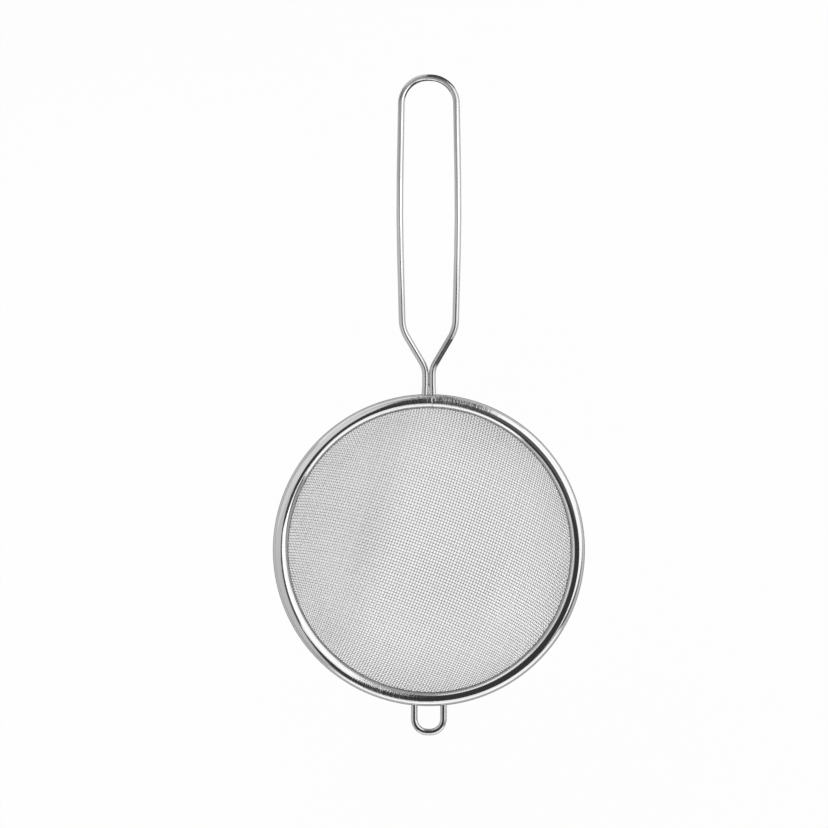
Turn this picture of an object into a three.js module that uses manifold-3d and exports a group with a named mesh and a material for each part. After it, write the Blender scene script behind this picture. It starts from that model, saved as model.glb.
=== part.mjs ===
// Mesh strainer: a pressed wire-cloth bowl hemmed over a core wire, clamped in a rolled steel rim,
// with a bent-wire handle welded to one side of the rim and a wire rest hook to the other.
// Units are millimetres, +Z is up out of the bowl, and the handle runs along +Y.
// The origin is the middle of the bowl's underside.
import Module from "manifold-3d";
import * as THREE from "three";
import { mergeGeometries, mergeVertices } from "three/addons/utils/BufferGeometryUtils.js";

const wasm = await Module();
wasm.setup();

// Driving dimensions of the rim
const rimDiameter = 140;
const coreWireDiameter = 3;
const bandThickness = 0.5;
const innerLegLength = 4; // from the core's centre down to the lower edge inside the bowl
const skirtLength = 5.5; // from the core's centre down to the lower edge outside the bowl
const skirtBendRadius = 1;
const seamWidth = 0.3;
const seamOffset = 1.5; // sideways from the handle's centre line

// Driving dimensions of the bowl
const clothWireDiameter = 0.3;
const bowlDepth = 35; // inside, below the rim's inner leg
const bowlFlatDiameter = 24;
const bowlWallAngle = THREE.MathUtils.degToRad(66); // steepness of the wall where it meets the rim
const hemEndAngle = THREE.MathUtils.degToRad(-35); // how far the hem wraps round the core
const openingsAcross = 12; // a coarse grid that stands for the fine weave; even, so that bars cross in the middle
const openingBar = 2.2; // between two openings
const openingBorder = 2.5; // between the outermost openings and the rim's inner leg
const weaveTurn = THREE.MathUtils.degToRad(70); // direction of the warp, from +X

// Driving dimensions of the handle
const handleWireDiameter = 3;
const handleLength = 143.4; // from the rim's outside to the outside of the loop's end
const legSlot = 0.3;
const rootSpread = 0.25;
const rootSpreadLength = 4.5;
const neckLength = 11.6;
const neckBendRadius = 10;
const flareAngle = THREE.MathUtils.degToRad(30.6);
const shoulderBendRadius = 16;
const gripWidth = 26.5; // between centre lines, at the widest place
const gripWidestLength = 80; // from the rim's outside to the widest place
const gripLowerTaper = THREE.MathUtils.degToRad(1.5);
const gripUpperTaper = THREE.MathUtils.degToRad(1);
const gripBowRadius = 800;
const loopEndFlat = 1.2;

// Driving dimensions of the rest hook
const hookWireDiameter = 3;
const hookLength = 13.1; // from the rim's outside to the outside of the hook's end
const hookWidth = 13.1; // between centre lines
const hookEndFlat = 1.2;

// Driving dimensions of the welds
const handleWeldWidth = 6.6;
const handleWeldLength = 4;
const hookWeldWidth = 4.2;
const hookWeldLength = 2.6;
const weldHeight = 1.8;

// Clearance between pieces that bear on each other
const seatGap = 0.3;

// How finely round shapes are divided
const ringSegments = 48;
const wireSides = 12;
const coreSides = 10;
const bowlSteps = 8;
const hemSteps = 6;
const crestSteps = 9; // odd, so that the crest ends in a flat ring
const rollUnderSteps = 5;
const skirtBendSteps = 3;
const bendStep = THREE.MathUtils.degToRad(15);
const weldSides = 14;
const weldRings = 8;

// Rim section, worked out from the core wire outwards
const clothThickness = 2 * clothWireDiameter; // one wire over the other
const coreRadius = coreWireDiameter / 2;
const hemInnerRadius = coreRadius + seatGap;
const hemOuterRadius = hemInnerRadius + clothThickness;
const rollInnerRadius = hemOuterRadius + seatGap;
const rollOuterRadius = rollInnerRadius + bandThickness;
const rimRadius = rimDiameter / 2;
const coreRingRadius = rimRadius - rollOuterRadius;
const clothOuterRadius = coreRingRadius - hemInnerRadius;
const clothInnerRadius = clothOuterRadius - clothThickness;
const skirtMiddleRadius = clothOuterRadius + seatGap + bandThickness / 2;

// Levels above the bowl's underside
const bowlTopLevel = clothThickness + bowlDepth;
const coreLevel = bowlTopLevel + innerLegLength;

// Surfaces of the steel
const steel = (color, roughness) => new THREE.MeshStandardMaterial({ color, roughness, metalness: 1 });
const finish = {
  polishedBand: () => steel(0xd2d3d4, 0.16),
  drawnWire: () => steel(0xcbccce, 0.22),
  wovenCloth: () => steel(0xb9babc, 0.34),
  weld: () => steel(0x9a9b9d, 0.42),
};

// Points on an arc about a centre in the section plane, both ends included
function arc(centreX, centreY, radius, fromAngle, toAngle, steps) {
  return Array.from({ length: steps + 1 }, (_, i) => {
    const angle = fromAngle + ((toAngle - fromAngle) * i) / steps;
    return new THREE.Vector2(centreX + radius * Math.cos(angle), centreY + radius * Math.sin(angle));
  });
}

// A solid of revolution about +Z; the section holds (radius, height) points, anticlockwise
function revolve(section, start = 0, sweep = 2 * Math.PI) {
  return new THREE.LatheGeometry(section, ringSegments, start, sweep).rotateX(Math.PI / 2);
}

// An end face for a section that stops at the given turn, facing back along the sweep or onwards
function sectionCap(section, turn, onwards) {
  const cap = new THREE.ShapeGeometry(new THREE.Shape(section));
  if (onwards) {
    cap.index.array.reverse();
  }
  return cap.rotateY(turn - Math.PI / 2).rotateX(Math.PI / 2);
}

// Strip offset half its thickness to one side of its middle line
function offsetLine(middle, distance) {
  return middle.map((point, i) => {
    const before = middle[Math.max(i - 1, 0)];
    const after = middle[Math.min(i + 1, middle.length - 1)];
    const along = after.clone().sub(before).normalize();
    return new THREE.Vector2(point.x - along.y * distance, point.y + along.x * distance);
  });
}

// Rim band: an inner leg, a roll over the hemmed core, and a skirt that clamps the cloth from outside
function rimBandGeometry() {
  const rollRadius = (rollInnerRadius + rollOuterRadius) / 2;
  const skirtBendX = skirtMiddleRadius - coreRingRadius + skirtBendRadius;
  const rollEnd = -Math.acos(skirtBendX / (rollRadius + skirtBendRadius));
  const skirtBendY = (rollRadius + skirtBendRadius) * Math.sin(rollEnd);
  const crest = arc(coreRingRadius, coreLevel, rollRadius, Math.PI, 0, crestSteps);
  const under = arc(coreRingRadius, coreLevel, rollRadius, 0, rollEnd, rollUnderSteps);
  const bendCentre = [coreRingRadius + skirtBendX, coreLevel + skirtBendY];
  const skirtBend = arc(...bendCentre, skirtBendRadius, rollEnd + Math.PI, Math.PI, skirtBendSteps);
  const innerLegEnd = new THREE.Vector2(crest[0].x, bowlTopLevel);
  const skirtEnd = new THREE.Vector2(skirtMiddleRadius, coreLevel - skirtLength);
  const middle = [innerLegEnd, ...crest, ...under.slice(1), ...skirtBend.slice(1), skirtEnd];
  const inside = offsetLine(middle, -bandThickness / 2);
  const outside = offsetLine(middle, bandThickness / 2);
  const section = [...inside, ...outside.reverse()];
  const seamTurn = Math.PI - Math.asin(seamOffset / coreRingRadius);
  const seamAngle = seamWidth / coreRingRadius;
  const start = seamTurn + seamAngle / 2;
  const sweep = 2 * Math.PI - seamAngle;
  const hoop = revolve([...section, section[0].clone()], start, sweep);
  return mergeGeometries([
    hoop,
    sectionCap(section, start, false),
    sectionCap(section, start + sweep, true),
  ]);
}

// Core wire: a plain ring inside the hem
function coreWireGeometry() {
  const facet = Math.PI / coreSides;
  const section = arc(coreRingRadius, coreLevel, coreRadius, facet, facet + 2 * Math.PI, coreSides);
  return revolve(section);
}

// One face of the cloth: a flat disc, a stretch of ellipse up to the rim, then the hem round the core.
// The ellipse stops where it has the wall's angle: cos(turn) = rise / (reach * tan(angle) - rise)
function clothFace(wallRadius, floorLevel, hemRadius) {
  const flatRadius = bowlFlatDiameter / 2;
  const reach = wallRadius - flatRadius;
  const rise = bowlTopLevel - floorLevel;
  const turn = Math.acos(rise / (reach * Math.tan(bowlWallAngle) - rise));
  const acrossAxis = reach / Math.sin(turn);
  const upAxis = rise / (1 - Math.cos(turn));
  const dome = arc(0, 0, 1, -Math.PI / 2, turn - Math.PI / 2, bowlSteps).map(
    (unit) => new THREE.Vector2(flatRadius + acrossAxis * unit.x, floorLevel + upAxis * (1 + unit.y)),
  );
  const hem = arc(coreRingRadius, coreLevel, hemRadius, Math.PI, hemEndAngle, hemSteps);
  return [new THREE.Vector2(0, floorLevel), ...dome, ...hem];
}

// A closed geometry as a solid that can be cut
function toSolid(geometry) {
  const bare = geometry.deleteAttribute("normal").deleteAttribute("uv");
  const { index, attributes } = mergeVertices(bare);
  const mesh = new wasm.Mesh({
    numProp: 3,
    vertProperties: new Float32Array(attributes.position.array),
    triVerts: new Uint32Array(index.array),
  });
  return new wasm.Manifold(mesh);
}

// The faces of a solid as a geometry
function toGeometry(solid) {
  const { vertProperties, triVerts } = solid.getMesh();
  const geometry = new THREE.BufferGeometry();
  geometry.setAttribute("position", new THREE.BufferAttribute(vertProperties, 3));
  geometry.setIndex(new THREE.BufferAttribute(triVerts, 1));
  geometry.computeVertexNormals();
  return geometry;
}

// Upright square pegs where the cloth is open, cut off round at the border below the rim.
// Pegs that would leave only a sliver inside the border are left out.
function clothOpenings() {
  const reach = clothInnerRadius - openingBorder;
  const pitch = (2 * reach) / openingsAcross;
  const width = pitch - openingBar;
  const height = 2 * coreLevel;
  const places = Array.from({ length: openingsAcross }, (_, i) => (i + 0.5 - openingsAcross / 2) * pitch);
  const pegs = places.flatMap((x) =>
    places
      .filter((y) => Math.hypot(x, y) < reach + width / 6)
      .map((y) => new THREE.BoxGeometry(width, width, height).translate(x, y, 0)),
  );
  const grid = mergeGeometries(pegs).rotateZ(weaveTurn);
  const border = new THREE.CylinderGeometry(reach, reach, height, ringSegments).rotateX(Math.PI / 2);
  return toSolid(grid).intersect(toSolid(border));
}

// Bowl: the cloth as one thin shell with a coarse weave, from the middle of the floor to the end of the hem
function meshBowlGeometry() {
  const below = clothFace(clothOuterRadius, 0, hemInnerRadius);
  const above = clothFace(clothInnerRadius, clothThickness, hemOuterRadius);
  const shell = revolve([...below, ...above.reverse()]);
  return toGeometry(toSolid(shell).subtract(clothOpenings()));
}

// Centre line of a bent wire: its points are used as they are, so straight runs stay undivided
class WireRoute extends THREE.Curve {
  constructor(points) {
    super();
    this.points = points;
  }

  getSpacedPoints() {
    return this.points;
  }

  getTangentAt(share, target = new THREE.Vector3()) {
    const last = this.points.length - 1;
    const i = Math.round(share * last);
    const before = this.points[Math.max(i - 1, 0)];
    const after = this.points[Math.min(i + 1, last)];
    return target.copy(after).sub(before).normalize();
  }
}

// Points of a wire that runs straight between corners and bends round each at its own radius
function bentRoute(corners, level) {
  const route = [];
  corners.forEach((corner, i) => {
    const here = new THREE.Vector2(corner.x, corner.y);
    if (!corner.radius) {
      route.push(here);
      return;
    }
    const into = here.clone().sub(corners[i - 1]).normalize();
    const outOf = new THREE.Vector2().subVectors(corners[i + 1], here).normalize();
    const turn = Math.atan2(into.cross(outOf), into.dot(outOf));
    const setBack = corner.radius * Math.tan(Math.abs(turn) / 2);
    const bendStart = here.clone().addScaledVector(into, -setBack);
    const side = Math.sign(turn);
    const centre = new THREE.Vector2(-into.y, into.x).multiplyScalar(side * corner.radius).add(bendStart);
    const startAngle = Math.atan2(bendStart.y - centre.y, bendStart.x - centre.x);
    const steps = Math.max(2, Math.round(Math.abs(turn) / bendStep));
    route.push(...arc(centre.x, centre.y, corner.radius, startAngle, startAngle + turn, steps));
  });
  return route.map((point) => new THREE.Vector3(point.x, point.y, level));
}

// Round wire along a route, with a flat of its many-sided section turned straight down
function wireGeometry(route, diameter) {
  const facet = Math.PI / wireSides;
  const section = arc(0, 0, diameter / 2, facet, facet + 2 * Math.PI, wireSides).slice(0, -1);
  return new THREE.ExtrudeGeometry(new THREE.Shape(section), {
    steps: route.length - 1,
    extrudePath: new WireRoute(route),
    bevelEnabled: false,
  });
}

// Distance from the bowl's axis, along Y, at which a leg's end stands just clear of the rim
function rootReach(legX, wireDiameter) {
  const nearSide = Math.max(legX - wireDiameter / 2, 0);
  return Math.sqrt(rimRadius ** 2 - nearSide ** 2) + seatGap;
}

// Corners of one half of a wire, followed by the same corners mirrored and run backwards
function withMirror(half) {
  const mirrored = half.map((corner) => ({ ...corner, x: -corner.x })).reverse();
  return [...half, ...mirrored];
}

// Handle: two close legs, a flare to the shoulders, a gently bowed grip and a round end
function handleRoute() {
  const legX = (handleWireDiameter + legSlot) / 2;
  const rootX = legX + rootSpread;
  const rootY = rootReach(rootX, handleWireDiameter);
  const neckY = rimRadius + neckLength;
  const widestX = gripWidth / 2;
  const widestY = rimRadius + gripWidestLength;
  const endY = rimRadius + handleLength - handleWireDiameter / 2;
  const endX = widestX - (endY - widestY) * Math.tan(gripUpperTaper);
  const flare = Math.tan(flareAngle);
  const lower = Math.tan(gripLowerTaper);
  const shoulderY = (widestX - legX + neckY * flare - widestY * lower) / (flare - lower);
  const shoulderX = legX + (shoulderY - neckY) * flare;
  const endTurn = Math.PI / 2 - gripUpperTaper;
  const endRadius = (endX - loopEndFlat / 2) / Math.tan(endTurn / 2);
  return bentRoute(
    withMirror([
      { x: rootX, y: rootY },
      { x: legX, y: rootY + rootSpreadLength, radius: neckBendRadius },
      { x: legX, y: neckY, radius: neckBendRadius },
      { x: shoulderX, y: shoulderY, radius: shoulderBendRadius },
      { x: widestX, y: widestY, radius: gripBowRadius },
      { x: endX, y: endY, radius: endRadius },
    ]),
    coreLevel,
  );
}

// Rest hook: a plain U of wire opposite the handle
function hookRoute() {
  const legX = hookWidth / 2;
  const endY = rimRadius + hookLength - hookWireDiameter / 2;
  return bentRoute(
    withMirror([
      { x: legX, y: -rootReach(legX, hookWireDiameter) },
      { x: legX, y: -endY, radius: legX - hookEndFlat / 2 },
    ]),
    coreLevel,
  );
}

// Weld bead: a low mound in the corner under a leg's root, clear of the wire above and the roll beside it
function weldMesh(name, x, side, width, length, wireDiameter) {
  const drop = wireDiameter / 2 + seatGap + weldHeight / 2;
  const nearestDrop = drop - weldHeight / 4;
  const rollEdge = coreRingRadius + Math.sqrt(Math.max(rollOuterRadius ** 2 - nearestDrop ** 2, 0));
  const reach = rollEdge + seatGap + (length / 2) * Math.sqrt(0.75);
  const bead = piece(name, new THREE.SphereGeometry(1, weldSides, weldRings), finish.weld());
  bead.scale.set(width / 2, length / 2, weldHeight / 2);
  bead.position.set(x, side * Math.sqrt(reach ** 2 - x ** 2), coreLevel - drop);
  bead.rotation.z = -side * Math.asin(x / reach);
  return bead;
}

// A named sub-part with its own material
function piece(name, geometry, material) {
  const mesh = new THREE.Mesh(geometry, material);
  mesh.name = name;
  return mesh;
}

const strainer = new THREE.Group();
strainer.add(
  piece("rim_band", rimBandGeometry(), finish.polishedBand()),
  piece("rim_core_wire", coreWireGeometry(), finish.drawnWire()),
  piece("mesh_bowl", meshBowlGeometry(), finish.wovenCloth()),
  piece("handle_wire", wireGeometry(handleRoute(), handleWireDiameter), finish.drawnWire()),
  piece("rest_hook", wireGeometry(hookRoute(), hookWireDiameter), finish.drawnWire()),
  weldMesh("handle_weld", 0, 1, handleWeldWidth, handleWeldLength, handleWireDiameter),
  weldMesh("hook_weld_left", -hookWidth / 2, -1, hookWeldWidth, hookWeldLength, hookWireDiameter),
  weldMesh("hook_weld_right", hookWidth / 2, -1, hookWeldWidth, hookWeldLength, hookWireDiameter),
);

export default strainer;
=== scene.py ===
"""Looks of a hand-held mesh strainer, built round its packed CAD part.

The bowl is real wire cloth: a pin-jointed net laid over the pressed dome, with every wire modelled. The rim
is one strip of sheet rolled over its core wire, and the handle and the rest hook are bent wires welded to it.
Sizes are metres in the part's own frame: +Z runs up out of the bowl, +Y along the handle, and the origin is
the middle of the bowl's underside.
"""
import math

import bpy
import numpy as np
from bpy.props import FloatProperty, FloatVectorProperty, IntProperty, PointerProperty
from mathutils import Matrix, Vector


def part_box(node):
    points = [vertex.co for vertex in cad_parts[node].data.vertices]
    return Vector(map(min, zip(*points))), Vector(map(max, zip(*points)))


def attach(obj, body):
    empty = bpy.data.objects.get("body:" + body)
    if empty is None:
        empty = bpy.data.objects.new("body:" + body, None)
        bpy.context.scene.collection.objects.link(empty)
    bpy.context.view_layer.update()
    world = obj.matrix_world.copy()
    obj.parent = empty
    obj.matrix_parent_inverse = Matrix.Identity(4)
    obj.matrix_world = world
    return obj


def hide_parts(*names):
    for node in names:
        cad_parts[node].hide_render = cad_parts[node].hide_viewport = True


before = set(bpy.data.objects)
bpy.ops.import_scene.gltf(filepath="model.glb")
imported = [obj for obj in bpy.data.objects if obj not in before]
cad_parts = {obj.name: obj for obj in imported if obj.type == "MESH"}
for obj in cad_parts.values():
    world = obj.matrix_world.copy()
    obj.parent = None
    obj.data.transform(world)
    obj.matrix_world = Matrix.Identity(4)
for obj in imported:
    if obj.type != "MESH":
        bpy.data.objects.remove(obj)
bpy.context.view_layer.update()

bl_info = {
    "name": "Mesh strainer",
    "version": (1, 0, 0),
    "blender": (4, 5, 0),
    "location": "View3D > Sidebar > Strainer",
    "description": "Dresses the packed strainer with woven cloth, a rolled rim and bent wires",
    "category": "Object",
}

BODY = "root"
BAKE_MAP = "OFBake"
RUN = "run"  # attribute: place on the unbent strip or wire, along it and across it


def ring_reach(node):
    """Least and greatest distance of a CAD node's vertices from the bowl's axis."""
    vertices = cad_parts[node].data.vertices
    flat = np.empty(3 * len(vertices), np.float32)
    vertices.foreach_get("co", flat)
    reach = np.hypot(*flat.reshape(-1, 3).T[:2].astype(float))
    return reach.min(), reach.max()


def middle_level(node):
    """Level halfway up a CAD node."""
    low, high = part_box(node)
    return (low.z + high.z) / 2


RIM_RADIUS = ring_reach("rim_band")[1]
CORE_RING = sum(ring_reach("rim_core_wire")) / 2
CORE_LEVEL = middle_level("rim_core_wire")
SKIRT_LENGTH = CORE_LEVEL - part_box("rim_band")[0].z


# Sizes, finishes and stage that a user may change


def length(name, description, default):
    """A size in metres."""
    return FloatProperty(name=name, description=description, default=default, unit="LENGTH", precision=5)


def angle(name, description, degrees):
    """An angle, stored in radians."""
    return FloatProperty(name=name, description=description, default=math.radians(degrees), subtype="ANGLE")


def share(name, description, default):
    """A number from 0 to 1."""
    return FloatProperty(
        name=name, description=description, default=default, min=0.0, max=1.0, subtype="FACTOR"
    )


def grey(name, description, level):
    """A neutral colour, in linear light."""
    return FloatVectorProperty(
        name=name, description=description, default=(level,) * 3, min=0.0, max=1.0, subtype="COLOR"
    )


def half_sizes(name, default):
    """Half width, length and height of a mound."""
    return FloatVectorProperty(
        name=name, description="Half width, length and height", default=default, subtype="XYZ", unit="LENGTH"
    )


class ClothSizes(bpy.types.PropertyGroup):
    """The woven bowl."""

    wire: length("Wire diameter", "Thickness of one cloth wire", 0.0003)
    warp_step: length("Step along the warp", "Distance between crossings along a warp wire", 0.00135)
    weft_step: length("Step along the weft", "Distance between crossings along a weft wire", 0.001285)
    turn: angle("Turn of the weave", "Direction of the warp, from +X", 70)
    warp_bow: FloatProperty(name="Warp bow", description="Its turn, in radians per metre", default=1.4)
    weft_bow: FloatProperty(name="Weft bow", description="Its turn, in radians per metre", default=2.5)
    flat: length("Floor radius", "Radius of the flat middle of the bowl", 0.012)
    wall: length("Wall radius", "Radius at which the cloth stands inside the rim", CORE_RING - 0.0021)
    wall_angle: angle("Wall angle", "Steepness of the bowl where it meets the rim", 66)
    floor: length("Floor level", "Level of the cloth's middle at the floor", 0.0003)
    top: length("Top of the bowl", "Level at which the bowl meets the rim", CORE_LEVEL - 0.004)
    bend: length("Bend", "How softly the cloth turns upright at the rim", 0.0003)
    tuck: length("Tuck", "How far the wires run up inside the rim", 0.0038)
    unevenness: share("Unevenness", "Scatter of the wires, as a share of a step", 0.04)
    seed: IntProperty(name="Seed", description="Choice of the scatter", default=7)


class RimSizes(bpy.types.PropertyGroup):
    """The rolled strip."""

    thickness: length("Strip thickness", "Thickness of the sheet", 0.0005)
    roll: length("Roll radius", "Outside radius of the roll", RIM_RADIUS - CORE_RING)
    inner_leg: length("Inner leg", "From the core's centre down to the edge in the bowl", 0.004)
    skirt: length("Skirt", "From the core's centre down to the edge outside the bowl", SKIRT_LENGTH)
    skirt_inset: length("Skirt inset", "From the core's ring in to the middle of the skirt", 0.00125)
    skirt_bend: length("Skirt bend", "Bend radius between roll and skirt", 0.001)
    seam_gap: length("Seam gap", "Gap between the strip's two ends", 0.00003)
    seam_round: length("Seam rounding", "Rounding of the strip's ends", 0.00024)
    seam_offset: length("Seam offset", "Sideways from the handle's centre line", 0.0015)
    slack: share("Slack", "How much wider the roll's inner half stands at its slackest", 0.18)
    slack_turn: angle("Slack bearing", "Where the roll is slackest, clockwise from the handle", 258)
    slack_spread: angle("Slack spread", "How far the slack reaches to either side", 90)
    pinch: share("Pinch", "How much narrower the roll's inner half is at its tightest", 0.1)
    pinch_turn: angle("Pinch bearing", "Where the roll is tightest, counted in the same way", 172)
    pinch_spread: angle("Pinch spread", "How far the pinch reaches to either side", 40)


class WireSizes(bpy.types.PropertyGroup):
    """The handle and the rest hook."""

    diameter: length("Wire diameter", "Thickness of the handle and the hook", 0.003)
    sunk: length("Sunk root", "How far a root runs into the rim's wall", 0.0006)
    handle: length("Handle length", "From the rim to the outside of the loop's end", 0.1434)
    slot: length("Leg slot", "Gap between the handle's two legs", 0.0001)
    spread: length("Root spread", "How far each leg moves out at its root", 0.00025)
    spread_length: length("Root spread length", "Length over which the legs move out", 0.0045)
    neck: length("Neck length", "From the rim to the corner where the legs part", 0.0116)
    neck_bend: length("Neck bend", "Bend radius where the legs part", 0.010)
    flare: angle("Flare", "Lean of the legs between neck and shoulders", 30.6)
    shoulder_bend: length("Shoulder bend", "Bend radius at the shoulders", 0.016)
    grip: length("Grip width", "Between centre lines at the widest place", 0.0265)
    widest: length("Widest place", "From the rim to the widest place of the grip", 0.080)
    lower_taper: angle("Lower taper", "Lean of the grip below its widest place", 1.5)
    upper_taper: angle("Upper taper", "Lean of the grip above its widest place", 1.0)
    bow: length("Bow radius", "Bend radius at the widest place", 0.8)
    end_flat: length("End flat", "Straight stretch in the middle of each round end", 0.0012)
    hook: length("Hook length", "From the rim to the outside of the hook's end", 0.0131)
    hook_width: length("Hook width", "Between the hook's centre lines", 0.0131)


class WeldSizes(bpy.types.PropertyGroup):
    """The welds at the wires' roots: half sizes of low mounds."""

    handle: half_sizes("Handle weld", (0.0014, 0.0030, 0.0021))
    hook: half_sizes("Hook weld", (0.0014, 0.0017, 0.0013))
    reach: length("Handle weld place", "From the rim to the middle of the handle's weld", 0.0014)
    sunk: length("Handle weld depth", "From the wires' centres down to its middle", 0.0006)
    hook_reach: length("Hook weld place", "From the rim to the middle of a hook's weld", 0.0004)
    hook_sunk: length("Hook weld depth", "From the wires' centres down to its middle", 0.0013)


class Finishes(bpy.types.PropertyGroup):
    """Colours and gloss of the steel."""

    strip: grey("Strip colour", "Polished sheet of the rim", 0.66)
    wire: grey("Wire colour", "Drawn wire of the handle and hook", 0.64)
    cloth: grey("Cloth colour", "Fine wire of the bowl", 0.55)
    weld: grey("Weld colour", "Cleaned welds", 0.8)
    edge: grey("Edge tint", "Reflection of the wires at a glancing angle", 0.70)
    strip_edge: grey("Strip edge tint", "Reflection of the strip at a glancing angle", 0.30)
    strip_gloss: share("Strip roughness", "Roughness of the polished sheet", 0.10)
    wire_gloss: share("Wire roughness", "Roughness of the drawn wire", 0.17)
    cloth_gloss: share("Cloth roughness", "Roughness of the cloth wire", 0.22)
    weld_gloss: share("Weld roughness", "Roughness of the welds", 0.55)


class StageSettings(bpy.types.PropertyGroup):
    """Floor, light and camera."""

    camera_height: length("Camera height", "Camera above the rim", 2.4)
    view_width: length("View width", "Width of the picture at the rim's level", 0.3714)
    view_x: length("View centre X", "Middle of the picture, across the handle", -0.00668)
    view_y: length("View centre Y", "Middle of the picture, along the handle", 0.06105)
    floor_size: length("Floor size", "Width of the floor", 24.0)
    floor: grey("Floor colour", "Pale floor", 0.86)
    glow: share("Floor glow", "Share of plain white that keeps the floor pale to the camera", 0.97)
    # The two lower shares below paint shade on the floor by place, under the bowl and in its lee; the lit
    # paint's real shadow shows through them
    under_glow: share("Glow under the bowl", "The same share where the floor shows through the cloth", 0.9)
    lee_glow: share("Glow in the lee", "The same share under the bowl's side away from the light", 0.62)
    shine: share("Floor in reflections", "The same share where steel mirrors the floor", 0.4)
    sky_low: grey("Room colour", "Room near the horizon", 0.55)
    sky_high: grey("Ceiling colour", "Room overhead", 0.05)


GROUPS = {
    "strainer_cloth": ClothSizes,
    "strainer_rim": RimSizes,
    "strainer_wires": WireSizes,
    "strainer_welds": WeldSizes,
    "strainer_finish": Finishes,
    "strainer_stage": StageSettings,
}


# Meshes


def unit(vectors):
    """Vectors scaled to length 1."""
    return vectors / np.linalg.norm(vectors, axis=-1, keepdims=True)


def full_turn(count):
    """Angles spread evenly over a turn."""
    return np.linspace(0, 2 * np.pi, count, endpoint=False)


def walked(points):
    """Length of a line of points up to each of them."""
    return np.concatenate([[0], np.cumsum(np.linalg.norm(np.diff(points, axis=0), axis=1))])


def grid_faces(rows, columns):
    """Quads of a tube of points, numbered ring by ring, with the last column joined to the first.
    Also gives each corner's share of the way along the tube and around it."""
    row, column = np.meshgrid(np.arange(rows - 1), np.arange(columns), indexing="ij")
    corners = [(0, 0), (1, 0), (1, 1), (0, 1)]
    faces = [(row + down) * columns + (column + right) % columns for down, right in corners]
    along = [(row + down) / (rows - 1) for down, _ in corners]
    around = [(column + right) / columns for _, right in corners]
    faces, along, around = (np.stack(parts, -1).reshape(-1, 4) for parts in (faces, along, around))
    return faces, np.stack([along, around], -1)


def make_piece(name, points, face_sets, map_sets, run, slot, node):
    """A mesh object from whole arrays, turned outwards, in its slot's finish, that replaces a node.
    Its volume is the sum of p0 . (p1 x p2) / 6 over its triangles; a negative one turns every face round.
    Faces with more than four corners are flat ends, and the rest are smooth."""
    sizes = np.concatenate([np.full(len(faces), faces.shape[1]) for faces in face_sets])
    volume = 0.0
    for faces in face_sets:
        first, middle, last = points[faces[:, :1]], points[faces[:, 1:-1]], points[faces[:, 2:]]
        volume += np.sum(first * np.cross(middle, last))
    order = slice(None, None, -1 if volume < 0 else 1)
    corners = np.concatenate([faces[:, order].ravel() for faces in face_sets])
    places = np.concatenate([places[:, order].reshape(-1, 2) for places in map_sets])
    mesh = bpy.data.meshes.new(name)
    mesh.vertices.add(len(points))
    mesh.vertices.foreach_set("co", points.astype(np.float32).ravel())
    mesh.loops.add(len(corners))
    mesh.loops.foreach_set("vertex_index", corners.astype(np.int32))
    mesh.polygons.add(len(sizes))
    mesh.polygons.foreach_set("loop_start", (np.cumsum(sizes) - sizes).astype(np.int32))
    mesh.polygons.foreach_set("use_smooth", sizes <= 4)
    mesh.update(calc_edges=True)
    mesh.uv_layers.new(name=BAKE_MAP).data.foreach_set("uv", places.astype(np.float32).ravel())
    attribute = mesh.attributes.new(RUN, "FLOAT_VECTOR", "POINT")
    attribute.data.foreach_set("vector", run.astype(np.float32).ravel())
    mesh.materials.append(slot_material(slot))
    piece = bpy.data.objects.new(name, mesh)
    bpy.context.scene.collection.objects.link(piece)
    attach(piece, BODY)
    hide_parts(node)


MAP_WIDTH = 0.98  # share of the bake map that a piece's long side takes; its end faces use the rest
CAP_MIDDLE = 0.992
CAP_SIZE = 0.006


def cap_places(caps):
    """Map places for end faces: a small ring in a corner of the map that nothing else uses."""
    turn = full_turn(caps.shape[1])
    ring = CAP_MIDDLE + CAP_SIZE * np.stack([np.cos(turn), np.sin(turn)], -1)
    return np.broadcast_to(ring, (*caps.shape, 2))


def tube_piece(name, points, run, slot, node):
    """A piece from the rings of a tube, with flat ends: the first ring as it runs, the last one backwards."""
    rings, columns = points.shape[:2]
    faces, places = grid_faces(rings, columns)
    first = np.arange(columns)
    caps = np.stack([first, (rings - 1) * columns + first[::-1]])
    maps = [places * [MAP_WIDTH, 1], cap_places(caps)]
    make_piece(name, points.reshape(-1, 3), [faces, caps], maps, run.reshape(-1, 3), slot, node)


# Woven cloth

TINY = 1e-12  # keeps a division from failing


def dome_axes(cloth):
    """Half axes, across and up, of the ellipse that the bowl follows from its flat floor to the rim.
    It ends at the wall's angle: cos(turn) = rise / (reach * tan(angle) - rise)."""
    reach = cloth.wall - cloth.flat
    rise = cloth.top - cloth.floor
    turn = math.acos(rise / (reach * math.tan(cloth.wall_angle) - rise))
    return reach / math.sin(turn), rise / (1 - math.cos(turn))


def dome(points, cloth):
    """Implicit value of the cloth's middle surface at points, and its gradient.
    bowl = (sqrt(((r - flat) / across)^2 + ((middle - z) / up)^2) - 1) * across, with r - flat not below 0,
    and wall = r - wall radius. The cloth follows the greater of the two, with a soft bend between them:
    value = (bowl + wall + sqrt((bowl - wall)^2 + bend^2)) / 2."""
    across, up = dome_axes(cloth)
    radius = np.hypot(points[..., 0], points[..., 1])
    outward = np.maximum(radius - cloth.flat, 0) / across
    downward = (cloth.floor + up - points[..., 2]) / up
    far = np.hypot(outward, downward)
    bowl = (far - 1) * across
    wall = radius - cloth.wall
    blend = np.sqrt((bowl - wall) ** 2 + cloth.bend**2)
    bowl_share = (1 + (bowl - wall) / blend) / 2
    by_radius = bowl_share * outward / far + 1 - bowl_share
    by_level = -bowl_share * downward / far * across / up
    spoke = points[..., :2] / np.maximum(radius, TINY)[..., None]
    gradient = np.concatenate([by_radius[..., None] * spoke, by_level[..., None]], axis=-1)
    return (bowl + wall + blend) / 2, gradient


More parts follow.
